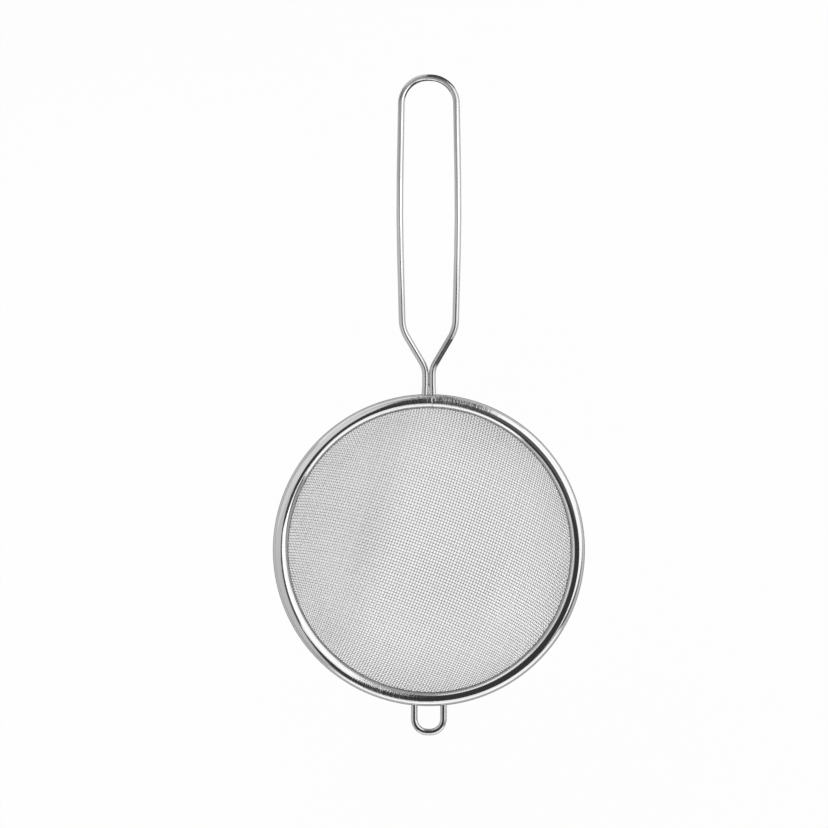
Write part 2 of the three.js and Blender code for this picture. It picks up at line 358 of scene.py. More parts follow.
STRIDES = 8  # strides in one step of a leading wire


def leading_wires(cloth, count):
    """Crossings on the four arms of the two wires that cross in the middle: warp and weft ahead, then both
    behind. An arm is walked over the dome in short strides: p' = t and t' = bow * (n x t), where n is the
    upward normal. After each stride p goes back on to the dome, and t into its tangent plane."""
    heading = cloth.turn + np.arange(4) * np.pi / 2
    along = np.stack([np.cos(heading), np.sin(heading), 0 * heading], -1)
    stride = np.array([cloth.warp_step, cloth.weft_step] * 2)[:, None] / STRIDES
    bow = np.array([cloth.warp_bow, cloth.weft_bow, -cloth.warp_bow, -cloth.weft_bow])[:, None]
    place = np.tile([0.0, 0.0, cloth.floor], (4, 1))
    stops = [place]
    for number in range(1, (count - 1) * STRIDES + 1):
        place = place + stride * along
        height, slope = dome(place, cloth)
        up = -unit(slope)
        place = place + height[:, None] * up
        along = along + stride * bow * np.cross(up, along)
        along = unit(along - np.sum(along * up, -1, keepdims=True) * up)
        if number % STRIDES == 0:
            stops.append(place)
    return np.stack(stops, axis=1)


NEWTON_ROUNDS = 12
LONGEST_MOVE = 0.5  # of a crossing in one round, in steps


def draped_quarter(cloth, warp_arm, weft_arm):
    """Crossings of a quarter of the cloth between two arms, as a square array with NaN past the rim.
    Every crossing off the arms closes a four-bar cell: it lies on the dome at one step from each of its two
    earlier neighbours, so cells shear but never stretch. Newton's method finds a whole diagonal at once."""
    warp, weft = cloth.warp_step, cloth.weft_step
    count = len(warp_arm)
    net = np.full((count, count, 3), np.nan)
    net[:, 0] = warp_arm
    net[0, :] = weft_arm
    limit = cloth.top + cloth.tuck
    for diagonal in range(2, 2 * count - 1):
        i = np.arange(max(1, diagonal - count + 1), min(count, diagonal))
        j = diagonal - i
        left, below, corner = net[i - 1, j], net[i, j - 1], net[i - 1, j - 1]
        known = np.maximum(left[:, 2], below[:, 2]) < limit
        if not known.any():
            break
        i, j, left, below, corner = (part[known] for part in (i, j, left, below, corner))
        guess = left + below - corner
        for _ in range(NEWTON_ROUNDS):
            height, slope = dome(guess, cloth)
            from_left, from_below = guess - left, guess - below
            error = [
                np.sum(from_left**2, -1) / warp**2 - 1,
                np.sum(from_below**2, -1) / weft**2 - 1,
                height / weft,
            ]
            rate = [2 * from_left / warp**2, 2 * from_below / weft**2, slope / weft]
            move = np.linalg.solve(np.stack(rate, -2), np.stack(error, -1)[..., None])[..., 0]
            stride = np.linalg.norm(move, axis=-1, keepdims=True)
            guess = guess - move * np.minimum(1, LONGEST_MOVE * weft / np.maximum(stride, TINY))
        net[i, j] = guess
    net[net[..., 2] > limit] = np.nan
    return net


def whole_net(cloth):
    """Crossings of the whole cloth: four quarters about the middle, with each wire moved a little to one side
    by a seeded share of a step. Also gives +1 where the warp lies on top and -1 where the weft does."""
    count = math.ceil(2 * cloth.wall / min(cloth.warp_step, cloth.weft_step))
    arms = leading_wires(cloth, count)
    middle = count - 1
    net = np.full((2 * count - 1, 2 * count - 1, 3), np.nan)
    for ahead in (1, -1):
        for aside in (1, -1):
            net[middle::ahead, middle::aside] = draped_quarter(cloth, arms[1 - ahead], arms[2 - aside])
    scatter = np.random.default_rng(cloth.seed)
    for axis in (0, 1):
        onward = np.diff(net, axis=axis, append=np.nan)
        back = np.diff(net, axis=axis, prepend=np.nan)
        side = np.nan_to_num(np.where(np.isfinite(onward), onward, back))
        shift = scatter.normal(0, cloth.unevenness, 2 * count - 1)
        net = net + side * (shift[:, None, None] if axis == 0 else shift[None, :, None])
    i, j = np.indices(net.shape[:2])
    return net, 1 - 2 * ((i + j) % 2)


CLOTH_PARTS = "abc"  # pieces that share a set of wires, so that none has too many faces
CLOTH_SIDES = 6
CLOTH_RINGS = 3  # rings in one step of a cloth wire
FEWEST_RINGS = 3  # a shorter wire is left out
PART_STEPS = np.arange(CLOTH_RINGS)[:, None] / CLOTH_RINGS


def even_cuts(crossings, parts):
    """Where to part a set of wires so that each part has about as many crossings."""
    so_far = np.isfinite(crossings[..., 0]).sum(axis=1).cumsum()
    return np.searchsorted(so_far, so_far[-1] * np.arange(1, parts) / parts)


def refined(points):
    """Points along each wire, with more of them spread evenly over every step."""
    fine = points[:, :-1, None] * (1 - PART_STEPS) + points[:, 1:, None] * PART_STEPS
    fine[:, :, 0] = points[:, :-1]
    return np.concatenate([fine.reshape(len(points), -1, points.shape[-1]), points[:, -1:]], axis=1)


def refined_lift(lift):
    """Lift at the same places: lift * cos(pi * s), s steps on from each crossing."""
    fine = lift[:, :-1, None, None] * np.cos(np.pi * PART_STEPS)
    return np.concatenate([fine.reshape(len(lift), -1, 1), lift[:, -1:, None]], axis=1)


def weave_wires(name, cloth, crossings, lift, step):
    """One set of cloth wires: a six-sided tube along each row of crossings.
    Ring = centre + radius * (cos t * side + sin t * up), where side lies in the cloth across the wire and up
    completes the frame. Centre = place + lift * n, where n is the dome's normal and the lift swaps sign from
    crossing to crossing, so that the wires run over and under each other."""
    _, slope = dome(crossings, cloth)
    normal = unit(refined(-unit(slope)))
    centres = refined(crossings) + refined_lift(lift) * normal
    there = np.isfinite(centres[..., 0])
    there &= there.sum(axis=1, keepdims=True) >= FEWEST_RINGS
    ahead = np.diff(centres, axis=1, append=np.nan)
    behind = np.diff(centres, axis=1, prepend=np.nan)
    along = unit(np.nan_to_num(ahead) + np.nan_to_num(behind) + TINY)
    side = unit(np.cross(normal, along))
    up = np.cross(along, side)
    turn = full_turn(CLOTH_SIDES)[:, None]
    spokes = np.cos(turn) * side[..., None, :] + np.sin(turn) * up[..., None, :]
    rings = centres[..., None, :] + cloth.wire / 2 * spokes
    number = np.full(there.shape, -1)
    number[there] = np.arange(there.sum())
    wires, steps = there.shape
    wire, place = np.meshgrid(np.arange(wires), np.arange(steps), indexing="ij")

    linked = there[:, :-1] & there[:, 1:]
    here, beyond = number[:, :-1][linked][:, None], number[:, 1:][linked][:, None]
    edge = np.arange(CLOTH_SIDES)
    corners = [(here, edge), (beyond, edge), (beyond, edge + 1), (here, edge + 1)]
    faces = np.stack([ring * CLOTH_SIDES + spoke % CLOTH_SIDES for ring, spoke in corners], -1)
    start, row = place[:, :-1][linked][:, None], wire[:, :-1][linked][:, None]
    across = [start, start + 1, start + 1, start]
    upward = [edge, edge, edge + 1, edge + 1]
    u = np.stack([np.broadcast_to(a, faces.shape[:2]) for a in across], -1) / steps * MAP_WIDTH
    v = np.stack([row + (b + 0.5) / (CLOTH_SIDES + 1) for b in upward], -1) / wires
    padded = np.pad(there, ((0, 0), (1, 1)))
    firsts = number[there & ~padded[:, :-2]]
    lasts = number[there & ~padded[:, 2:]]
    caps = np.concatenate(
        [firsts[:, None] * CLOTH_SIDES + edge, lasts[:, None] * CLOTH_SIDES + edge[::-1]]
    )
    run = np.stack([place[there] * step / CLOTH_RINGS, wire[there].astype(float), 0.0 * place[there]], -1)
    make_piece(
        name,
        rings[there].reshape(-1, 3),
        [faces.reshape(-1, 4), caps],
        [np.stack([u, v], -1).reshape(-1, 4, 2), cap_places(caps)],
        np.repeat(run, CLOTH_SIDES, axis=0),
        "mesh_steel",
        "mesh_bowl",
    )


# Rolled rim

RIM_TURNS = 300
CREST_STEPS = 80
SKIRT_BEND_STEPS = 14
STRAIGHT_STEPS = 7
EDGE_STEPS = 5


def arc(centre, radius, start, end, count):
    """Points and directions from the centre along an arc, both ends included."""
    turn = np.linspace(start, end, count)
    spokes = np.stack([np.cos(turn), np.sin(turn)], -1)
    return centre + radius * spokes, spokes


def rim_section(rim):
    """Closed section of the strip as middle + half thickness * offset, both as (radius, level) arrays.
    The middle line climbs the inner leg, rolls over the core, turns back in a small bend and drops as the
    skirt. Offsets are its normals, out on the way up and in on the way back, with half-round strip edges."""
    core = np.array([CORE_RING, CORE_LEVEL])
    roll = rim.roll - rim.thickness / 2
    bend_x = rim.skirt_bend - rim.skirt_inset
    roll_end = -math.acos(bend_x / (roll + rim.skirt_bend))
    bend = core + (roll + rim.skirt_bend) * np.array([math.cos(roll_end), math.sin(roll_end)])
    crest, crest_out = arc(core, roll, math.pi, roll_end, CREST_STEPS)
    turned, turned_in = arc(bend, rim.skirt_bend, roll_end + math.pi, math.pi, SKIRT_BEND_STEPS)
    fall = np.linspace(0, 1, STRAIGHT_STEPS)[:, None]
    leg = core + np.array([-roll, 0]) - np.array([0, rim.inner_leg]) * (1 - fall[:-1])
    foot = np.array([turned[-1][0], CORE_LEVEL - rim.skirt])
    skirt = turned[-1] + (foot - turned[-1]) * fall[1:]
    middle = np.concatenate([leg, crest, turned[1:], skirt])
    out = np.concatenate(
        [np.tile([-1.0, 0.0], (len(leg), 1)), crest_out, -turned_in[1:], np.tile([1.0, 0.0], (len(skirt), 1))]
    )
    swing = np.linspace(0, np.pi, EDGE_STEPS + 2)[1:-1, None]
    down = np.array([0.0, -1.0])
    lower = np.cos(swing) * out[-1] + np.sin(swing) * down
    upper = -np.cos(swing) * out[0] + np.sin(swing) * down
    centre = np.concatenate(
        [middle, np.tile(middle[-1], (EDGE_STEPS, 1)), middle[::-1], np.tile(middle[0], (EDGE_STEPS, 1))]
    )
    way = walked(middle)
    across = np.concatenate([way, np.full(EDGE_STEPS, way[-1]), way[::-1], np.full(EDGE_STEPS, way[0])])
    return centre, np.concatenate([out, lower, -out[::-1], upper]), across


def nearness(turn, middle, spread):
    """Falls from 1 at the middle to 0 at the spread on either side: cos(pi/2 * off / spread)^2."""
    off = np.abs((turn - middle + np.pi) % (2 * np.pi) - np.pi)
    return np.cos(np.pi / 2 * np.minimum(off / spread, 1)) ** 2


def rim_strip(rim):
    """The section turned about the bowl's axis from one end of the strip to the other.
    x = r sin t, y = r cos t; the last rings at each end thin down on a quarter circle, so that the butt
    seam has rounded lips. The roll's inner half stands slack off its core in one place, and is tight in
    another."""
    centre, offset, across = rim_section(rim)
    lip = np.linspace(0, np.pi / 2, EDGE_STEPS)
    inset = (rim.seam_gap / 2 + rim.seam_round * (1 - np.cos(lip))) / RIM_RADIUS
    thinned = rim.thickness / 2 - rim.seam_round * (1 - np.sin(lip))
    turn = np.concatenate([inset, np.linspace(0, 2 * np.pi, RIM_TURNS + 1)[1:-1], 2 * np.pi - inset[::-1]])
    half = np.concatenate([thinned, np.full(RIM_TURNS - 1, rim.thickness / 2), thinned[::-1]])
    section = centre + half[:, None, None] * offset
    angles = (math.asin(rim.seam_offset / CORE_RING) + turn)[:, None]
    inward = np.maximum(CORE_RING - section[..., 0], 0)
    slack = rim.slack * nearness(angles, rim.slack_turn, rim.slack_spread)
    pinch = rim.pinch * nearness(angles, rim.pinch_turn, rim.pinch_spread)
    radius = section[..., 0] - inward * (slack - pinch)
    points = np.stack([radius * np.sin(angles), radius * np.cos(angles), section[..., 1]], -1)
    run = np.stack(np.broadcast_arrays((turn * CORE_RING)[:, None], across, half[:, None]), -1)
    tube_piece("rim_strip", points, run, "rim_steel", "rim_band")


# Bent wires

WIRE_SIDES = 32
BEND_STEP = math.radians(2.5)
FEWEST_IN_BEND = 3
END_RING = 0.0002  # from a wire's end to its next ring, which keeps the shading of the flat end to itself


def bent_route(corners):
    """Centre line and directions of a wire through corners (x, y, bend radius).
    It runs straight between bends. A bend starts radius * tan(turn / 2) before its corner and is an arc of
    that radius through the angle between the two runs."""
    first = unit(corners[1:2, :2] - corners[:1, :2])
    last = unit(corners[-1:, :2] - corners[-2:-1, :2])
    points = [corners[:1, :2], corners[:1, :2] + END_RING * first]
    directions = [first, first]
    for before, here, after in zip(corners, corners[1:], corners[2:]):
        into = unit(here[:2] - before[:2])
        out = unit(after[:2] - here[:2])
        turn = math.atan2(into[0] * out[1] - into[1] * out[0], into @ out)
        start = here[:2] - into * here[2] * math.tan(abs(turn) / 2)
        swing = np.linspace(0, turn, max(FEWEST_IN_BEND, round(abs(turn) / BEND_STEP)))[:, None]
        left = np.array([-into[1], into[0]])
        heading = np.cos(swing) * into + np.sin(swing) * left
        spoke = np.stack([heading[:, 1], -heading[:, 0]], -1) * math.copysign(here[2], turn)
        points.append(start - spoke[0] + spoke)
        directions.append(heading)
    points += [corners[-1:, :2] - END_RING * last, corners[-1:, :2]]
    directions += [last, last]
    return np.concatenate(points), np.concatenate(directions)


def with_mirror(half):
    """Corners of one half of a wire, followed by the same corners mirrored and run backwards."""
    half = np.array(half)
    return np.concatenate([half, half[::-1] * [-1, 1, 1]])


def root_reach(leg, wires):
    """Distance along Y at which a leg's end lies just inside the rim's wall."""
    return math.sqrt(RIM_RADIUS**2 - leg**2) - wires.sunk


def handle_corners(wires):
    """Two close legs, a flare to the shoulders, a gently bowed grip and a round end."""
    leg = (wires.diameter + wires.slot) / 2
    root = leg + wires.spread
    neck = RIM_RADIUS + wires.neck
    widest_x, widest_y = wires.grip / 2, RIM_RADIUS + wires.widest
    end_y = RIM_RADIUS + wires.handle - wires.diameter / 2
    end_x = widest_x - (end_y - widest_y) * math.tan(wires.upper_taper)
    flare, lower = math.tan(wires.flare), math.tan(wires.lower_taper)
    shoulder_y = (widest_x - leg + neck * flare - widest_y * lower) / (flare - lower)
    end_bend = (end_x - wires.end_flat / 2) / math.tan((math.pi / 2 - wires.upper_taper) / 2)
    return with_mirror(
        [
            (root, root_reach(root, wires), 0),
            (leg, RIM_RADIUS + wires.spread_length, wires.neck_bend),
            (leg, neck, wires.neck_bend),
            (leg + (shoulder_y - neck) * flare, shoulder_y, wires.shoulder_bend),
            (widest_x, widest_y, wires.bow),
            (end_x, end_y, end_bend),
        ]
    )


def hook_corners(wires):
    """A plain U opposite the handle."""
    leg = wires.hook_width / 2
    end = -(RIM_RADIUS + wires.hook - wires.diameter / 2)
    return with_mirror([(leg, -root_reach(leg, wires), 0), (leg, end, leg - wires.end_flat / 2)])


def wire_piece(name, corners, wires, node):
    """Round wire along a level route: ring = centre + radius * (cos t * side + sin t * up)."""
    centre, heading = bent_route(corners)
    turn = full_turn(WIRE_SIDES)
    across, upward = wires.diameter / 2 * np.cos(turn), wires.diameter / 2 * np.sin(turn)
    side = np.stack([heading[:, 1], -heading[:, 0]], -1)
    plan = centre[:, None] + across[:, None] * side[:, None]
    rise = np.broadcast_to((CORE_LEVEL + upward)[:, None], (*plan.shape[:2], 1))
    run = np.stack(np.broadcast_arrays(walked(centre)[:, None], across, upward), -1)
    tube_piece(name, np.concatenate([plan, rise], -1), run, "wire_steel", node)


# Welds

WELD_SIDES = 40
WELD_RINGS = 20
WELD_LUMPS = 0.04


def weld_mound(name, centre, half, node):
    """A lumpy ellipsoid: centre + half sizes * (cos u sin v, sin u sin v, cos v) * (1 + lumps), where the
    lumps are a product of sines of u and v that dies out at the poles."""
    u = full_turn(WELD_SIDES)
    v = np.linspace(0, np.pi, WELD_RINGS + 1)[1:-1, None]
    ball = np.stack(np.broadcast_arrays(np.cos(u) * np.sin(v), np.sin(u) * np.sin(v), np.cos(v)), -1)
    lumps = 1 + WELD_LUMPS * np.sin(v) * np.sin(3 * u + 1) * np.sin(4 * v + np.cos(2 * u))
    body = (ball * lumps[..., None] * half).reshape(-1, 3)
    points = np.concatenate([body, [[0, 0, half[2]], [0, 0, -half[2]]]]) + centre
    faces, places = grid_faces(len(v), WELD_SIDES)
    ring = np.arange(WELD_SIDES)
    onward = np.roll(ring, -1)
    top, bottom = len(body), len(body) + 1
    last = len(body) - WELD_SIDES
    fans = np.concatenate(
        [
            np.stack([np.full(WELD_SIDES, top), ring, onward], -1),
            np.stack([np.full(WELD_SIDES, bottom), last + onward, last + ring], -1),
        ]
    )
    maps = [places * [MAP_WIDTH, 1], cap_places(fans)]
    make_piece(name, points, [faces, fans], maps, points - centre, "weld_steel", node)


# Materials

GROUND_PLACES = ((0.0093, 0.0662), (-0.021, -0.0635))  # on the rim, beside the handle and beside the hook
GROUND_REACH = 0.03
GROUND_RELIEF = 6e-5
MARKS_PER_METRE = 1800.0
MARK_STRETCH = 12.0  # how much longer a grinding mark is across the run than along it
NOISE_SPREAD = (0.3, 0.7)  # values of the lines' and marks' noise that become 0 and 1
SMEAR_SPREAD = (0.42, 0.72)
# What lines, smears and grinding marks add to a steel's roughness, as shares of it
LINE_GLOSS, SMEAR_GLOSS, MARK_GLOSS = 0.25, 0.45, 2.2
# What they and a cloth wire's own tone add to the tone, and how bright tones 0 and 1 are
LINE_TONE, SMEAR_TONE, OWN_TONE = 0.45, 0.4, 0.6
STEEL_TONES = (1.05, 0.84)
CLOTH_TONES = (1.12, 0.86)
CLOTH_SMEARS = 0.03
CLOTH_SMEAR_GLOSS = 0.3
# Lines in a metre, their stretch along the run, size of the smears, relief of the lines, places ground back
STEELS = {
    "polished_strip": (5000, 200, 0.03, 1e-6, GROUND_PLACES),
    "drawn_wire": (4000, 120, 0.02, 2e-6, ()),
    "cleaned_weld": (2500, 1, 0.004, 2e-5, ()),
}


def feed(tree, node, values):
    """Fill a node's inputs: a socket is linked, and anything else is set."""
    for key, value in values.items():
        if isinstance(value, bpy.types.NodeSocket):
            tree.links.new(value, node.inputs[key])
        else:
            node.inputs[key].default_value = value


def add_node(tree, kind, values=None, **settings):
    """A node with its settings, and its inputs filled by name or number."""
    node = tree.nodes.new(kind)
    for key, value in settings.items():
        setattr(node, key, value)
    feed(tree, node, values or {})
    return node


def calculate(tree, operation, *values):
    """Result of a Math node."""
    return add_node(tree, "ShaderNodeMath", dict(enumerate(values)), operation=operation).outputs[0]


def measure(tree, operation, *vectors):
    """Number that a Vector Math node gives."""
    node = add_node(tree, "ShaderNodeVectorMath", dict(enumerate(vectors)), operation=operation)
    return node.outputs["Value"]


def ramp(tree, value, low, high, start=0.0, end=1.0, shape="LINEAR"):
    """A number that goes from start to end while the value goes from low to high."""
    values = {"Value": value, "From Min": low, "From Max": high, "To Min": start, "To Max": end}
    return add_node(tree, "ShaderNodeMapRange", values, interpolation_type=shape).outputs["Result"]


def blend(tree, first, second, factor):
    """A colour between two."""
    values = {"A": (*first, 1.0), "B": (*second, 1.0), "Factor": factor}
    return add_node(tree, "ShaderNodeMix", values, data_type="RGBA").outputs["Result"]


def weighted_sum(tree, base, parts):
    """base + the sum of weight * value, as a chain of nodes."""
    total = base
    for value, weight in parts:
        total = calculate(tree, "MULTIPLY_ADD", value, weight, total)
    return total


def near_places(tree, places, reach):
    """Mask that is 1 at each place and fades to 0 at a distance from it, in the part's own space."""
    here = add_node(tree, "ShaderNodeTexCoord").outputs["Object"]
    total = None
    for place in places:
        near = ramp(tree, measure(tree, "DISTANCE", here, place), 0.0, reach, 1.0, 0.0, "SMOOTHSTEP")
        total = near if total is None else calculate(tree, "MAXIMUM", total, near)
    return total


def shared_group(name, inputs, outputs, lay):
    """A shader node group, made once, with its first user's values as defaults. lay(group, input sockets)
    puts in its nodes and gives its results."""
    group = bpy.data.node_groups.get(name)
    if group is None:
        group = bpy.data.node_groups.new(name, "ShaderNodeTree")
        for label, default in inputs.items():
            socket = group.interface.new_socket(label, in_out="INPUT", socket_type="NodeSocketFloat")
            socket.default_value = default
        for label in outputs:
            group.interface.new_socket(label, in_out="OUTPUT", socket_type="NodeSocketFloat")
        results = lay(group, add_node(group, "NodeGroupInput").outputs)
        add_node(group, "NodeGroupOutput", dict(zip(outputs, results)))
    return group


def lay_lines(group, socket):
    """Fine lines along a drawn wire or a rolled strip, and marks across it: noise on the run attribute,
    stretched along it or across it."""
    run = add_node(group, "ShaderNodeAttribute", attribute_name=RUN).outputs["Vector"]
    along, across, deep = add_node(group, "ShaderNodeSeparateXYZ", {0: run}).outputs
    slow = calculate(group, "DIVIDE", along, socket["Stretch"])
    place = add_node(group, "ShaderNodeCombineXYZ", {"X": slow, "Y": across, "Z": deep}).outputs[0]
    grain = {"Vector": place, "Scale": socket["Lines per Metre"], "Detail": 3.0, "Roughness": 0.6}
    lines = add_node(group, "ShaderNodeTexNoise", grain).outputs["Fac"]
    thin = calculate(group, "DIVIDE", across, MARK_STRETCH)
    place = add_node(group, "ShaderNodeCombineXYZ", {"X": along, "Y": thin}).outputs[0]
    grain = {"Vector": place, "Scale": MARKS_PER_METRE, "Detail": 2.0}
    marks = add_node(group, "ShaderNodeTexNoise", grain).outputs["Fac"]
    return [ramp(group, noise, *NOISE_SPREAD) for noise in (lines, marks)]


def drawn_lines(tree, lines, stretch):
    """Lines and marks on a drawn wire or a rolled strip."""
    values = {"Lines per Metre": lines, "Stretch": stretch}
    group = shared_group("drawn_lines", values, ["Lines", "Marks"], lay_lines)
    return add_node(tree, "ShaderNodeGroup", values, node_tree=group).outputs


def lay_smears(group, socket):
    """Faint smears left by handling and washing: soft noise in the part's own space."""
    here = add_node(group, "ShaderNodeTexCoord").outputs["Object"]
    near = add_node(group, "ShaderNodeVectorMath", {0: here, 1: socket["Size"]}, operation="DIVIDE")
    cloud = {"Vector": near.outputs["Vector"], "Scale": 1.0, "Detail": 4.0, "Distortion": 0.6}
    return [ramp(group, add_node(group, "ShaderNodeTexNoise", cloud).outputs["Fac"], *SMEAR_SPREAD)]


def handling_marks(tree, size):
    """Smears of about this size."""
    values = {"Size": size}
    group = shared_group("handling_marks", values, ["Smears"], lay_smears)
    return add_node(tree, "ShaderNodeGroup", values, node_tree=group).outputs["Smears"]


def new_material(name):
    """A material with nodes, and its tree."""
    material = bpy.data.materials.new(name)
    material.use_nodes = True
    return material, material.node_tree


def metal(name, edge):
    """A new metal with its tint at a glancing angle: material, tree and shader."""
    material, tree = new_material(name)
    shader = tree.nodes["Principled BSDF"]
    feed(tree, shader, {"Metallic": 1.0, "Specular Tint": (*edge, 1.0)})
    return material, tree, shader


def toned(tree, colour, tones, tone):
    """The colour times the first of two tones where tone is 0, and times the second where it is 1."""
    light, dark = ([min(1.0, part * level) for part in colour] for level in tones)
    return blend(tree, light, dark, tone)


def steel_material(name, colour, gloss, edge):
    """Bright steel. Drawn lines and smears change its tone and gloss, and the lines stand in low relief.
    Cross marks show round the places where a weld was ground back."""
    lines, stretch, smears, relief, ground = STEELS[name]
    material, tree, shader = metal(name, edge)
    drawn = drawn_lines(tree, lines, stretch)
    line, smear = drawn["Lines"], handling_marks(tree, smears)
    roughness = [(line, LINE_GLOSS * gloss), (smear, SMEAR_GLOSS * gloss)]
    height = [(line, 1.0)]
    if ground:
        places = [(x, y, CORE_LEVEL) for x, y in ground]
        mark = calculate(tree, "MULTIPLY", drawn["Marks"], near_places(tree, places, GROUND_REACH))
        roughness.append((mark, MARK_GLOSS * gloss))
        height.append((mark, GROUND_RELIEF / relief))
    tone = weighted_sum(tree, 0.0, [(line, LINE_TONE), (smear, SMEAR_TONE)])
    bump = {"Strength": 1.0, "Distance": relief, "Height": weighted_sum(tree, 0.0, height)}
    looks = {
        "Base Color": toned(tree, colour, STEEL_TONES, tone),
        "Roughness": weighted_sum(tree, gloss, roughness),
        "Normal": add_node(tree, "ShaderNodeBump", bump).outputs["Normal"],
    }
    feed(tree, shader, looks)
    return material


def cloth_material(name, colour, gloss, edge):
    """Fine wire: each wire has its own tone, and smears run over the whole cloth."""
    material, tree, shader = metal(name, edge)
    run = add_node(tree, "ShaderNodeAttribute", attribute_name=RUN).outputs["Vector"]
    wire = add_node(tree, "ShaderNodeSeparateXYZ", {0: run}).outputs["Y"]
    own = add_node(tree, "ShaderNodeTexWhiteNoise", {"W": wire}, noise_dimensions="1D").outputs["Value"]
    smear = handling_marks(tree, CLOTH_SMEARS)
    tone = weighted_sum(tree, 0.0, [(own, OWN_TONE), (smear, SMEAR_TONE)])
    looks = {
        "Base Color": toned(tree, colour, CLOTH_TONES, tone),
        "Roughness": weighted_sum(tree, gloss, [(smear, CLOTH_SMEAR_GLOSS * gloss)]),
    }
    feed(tree, shader, looks)
    return material


def slot_material(slot):
    """The finish of a material slot, made once."""
    look = bpy.context.scene.strainer_finish
    name, colour, gloss, edge = {
        "mesh_steel": ("cloth_wire", look.cloth, look.cloth_gloss, look.edge),
        "rim_steel": ("polished_strip", look.strip, look.strip_gloss, look.strip_edge),
        "wire_steel": ("drawn_wire", look.wire, look.wire_gloss, look.edge),
        "weld_steel": ("cleaned_weld", look.weld, look.weld_gloss, look.edge),
    }[slot]
    if name in bpy.data.materials:
        return bpy.data.materials[name]
    make = steel_material if name in STEELS else cloth_material
    return make(name, colour, gloss, edge)


# Stage


def softbox(name, place, size, rotation, radiance):
    """A flat lamp of even brightness: its power is pi * area * radiance."""
    x, y, rise = place
    lamp = bpy.data.lights.new(name, "AREA")
    lamp.shape = "RECTANGLE"
    lamp.size, lamp.size_y = size
    lamp.energy = math.pi * size[0] * size[1] * radiance
    holder = bpy.data.objects.new(name, lamp)
    holder.location = (x, y, CORE_LEVEL + rise)
    holder.rotation_euler = rotation
    holder.visible_camera = False
    bpy.context.scene.collection.objects.link(holder)
    return holder


def light_only(lamp, pieces):
    """Keep a lamp's light to these pieces."""
    lit = bpy.data.collections.new(f"{lamp.name}_lights")
    for piece in pieces:
        lit.objects.link(piece)
    lamp.light_linking.receiver_collection = lit


def stage_sheet(name, corners, material):
    """One flat face that belongs to the stage and not to the part."""
    mesh = bpy.data.meshes.new(name)
    mesh.from_pydata(corners, [], [range(len(corners))])
    mesh.materials.append(material)
    sheet = bpy.data.objects.new(name, mesh)
    bpy.context.scene.collection.objects.link(sheet)
    return sheet


def light_panel(name, corners, radiance):
    """A lamp of any flat outline and even brightness: one glowing face, unseen by the camera."""
    material, tree = new_material(name)
    glow = add_node(tree, "ShaderNodeEmission", {"Strength": radiance}).outputs[0]
    feed(tree, tree.nodes["Material Output"], {"Surface": glow})
    panel = stage_sheet(name, [(x, y, CORE_LEVEL + rise) for x, y, rise in corners], material)
    panel.visible_camera = False
    return panel


LEE = (-0.964, 0.266, 0.0)  # away from the light: the way the painted shade on the floor under the bowl deepens
CARD_RISE = 0.094  # of the level cards above the middle of the rim
PANEL_RISE = CARD_RISE + 0.32
LEFT_EDGE = [(-0.082, -0.082), (-0.0563, -0.0233), (-0.0525, 0.0)]
LEFT_EDGE += [(-0.0485, 0.03), (-0.04, 0.05), (-0.0312, 0.0753)]
LEFT_CORNERS = [(-0.03, 0.15), (-0.594, 0.237), (-0.66, -0.158), (-0.15, -0.24)]
RIGHT_CORNERS = [(0.245, 0.0), (0.0997, 0.2238), (0.995, 2.235), (2.44, 0.237), (0.299, -0.258)]
# Name, corners, rise above the middle of the rim, radiance
LEVEL_CARDS = (
    ("left_card", LEFT_EDGE + LEFT_CORNERS, CARD_RISE, 0.76),
    ("right_panel", RIGHT_CORNERS, PANEL_RISE, 1.45),
)
# Dark cards that stand close to the handle for it to mirror: name, and place and top of each end
FLAGS = (
    ("leg_flag", (0.0069, 0.081, 0.009), (0.0139, 0.0928, 0.009)),
    ("loop_flag_top", (-0.0008, 0.2169, 0.01), (0.0095, 0.2146, 0.01)),
    ("loop_flag_right", (0.0095, 0.2146, 0.006), (0.0142, 0.209, 0.001)),
    ("loop_flag_in_left", (-0.0075, 0.2021, 0.0012), (-0.0039, 0.2069, 0.008)),
    ("loop_flag_in_top", (-0.0039, 0.2069, 0.004), (0.002, 0.2076, 0.001)),
    ("loop_flag_in_right", (0.002, 0.2076, 0.001), (0.0068, 0.204, 0.0005)),
)
FLAG_FOOT = -0.004  # of every flag, from the middle of the rim
FLAG_RADIANCE = 0.08


def hanging(bearing):
    """Rotation of a lamp that hangs level, with its first side along this bearing, in degrees from +X."""
    return (0.0, 0.0, math.radians(bearing))


def facing(bearing):
    """Rotation of an upright lamp that stands at this bearing, in degrees from +X, and faces the bowl."""
    return (math.radians(90), 0.0, math.radians(bearing + 90))


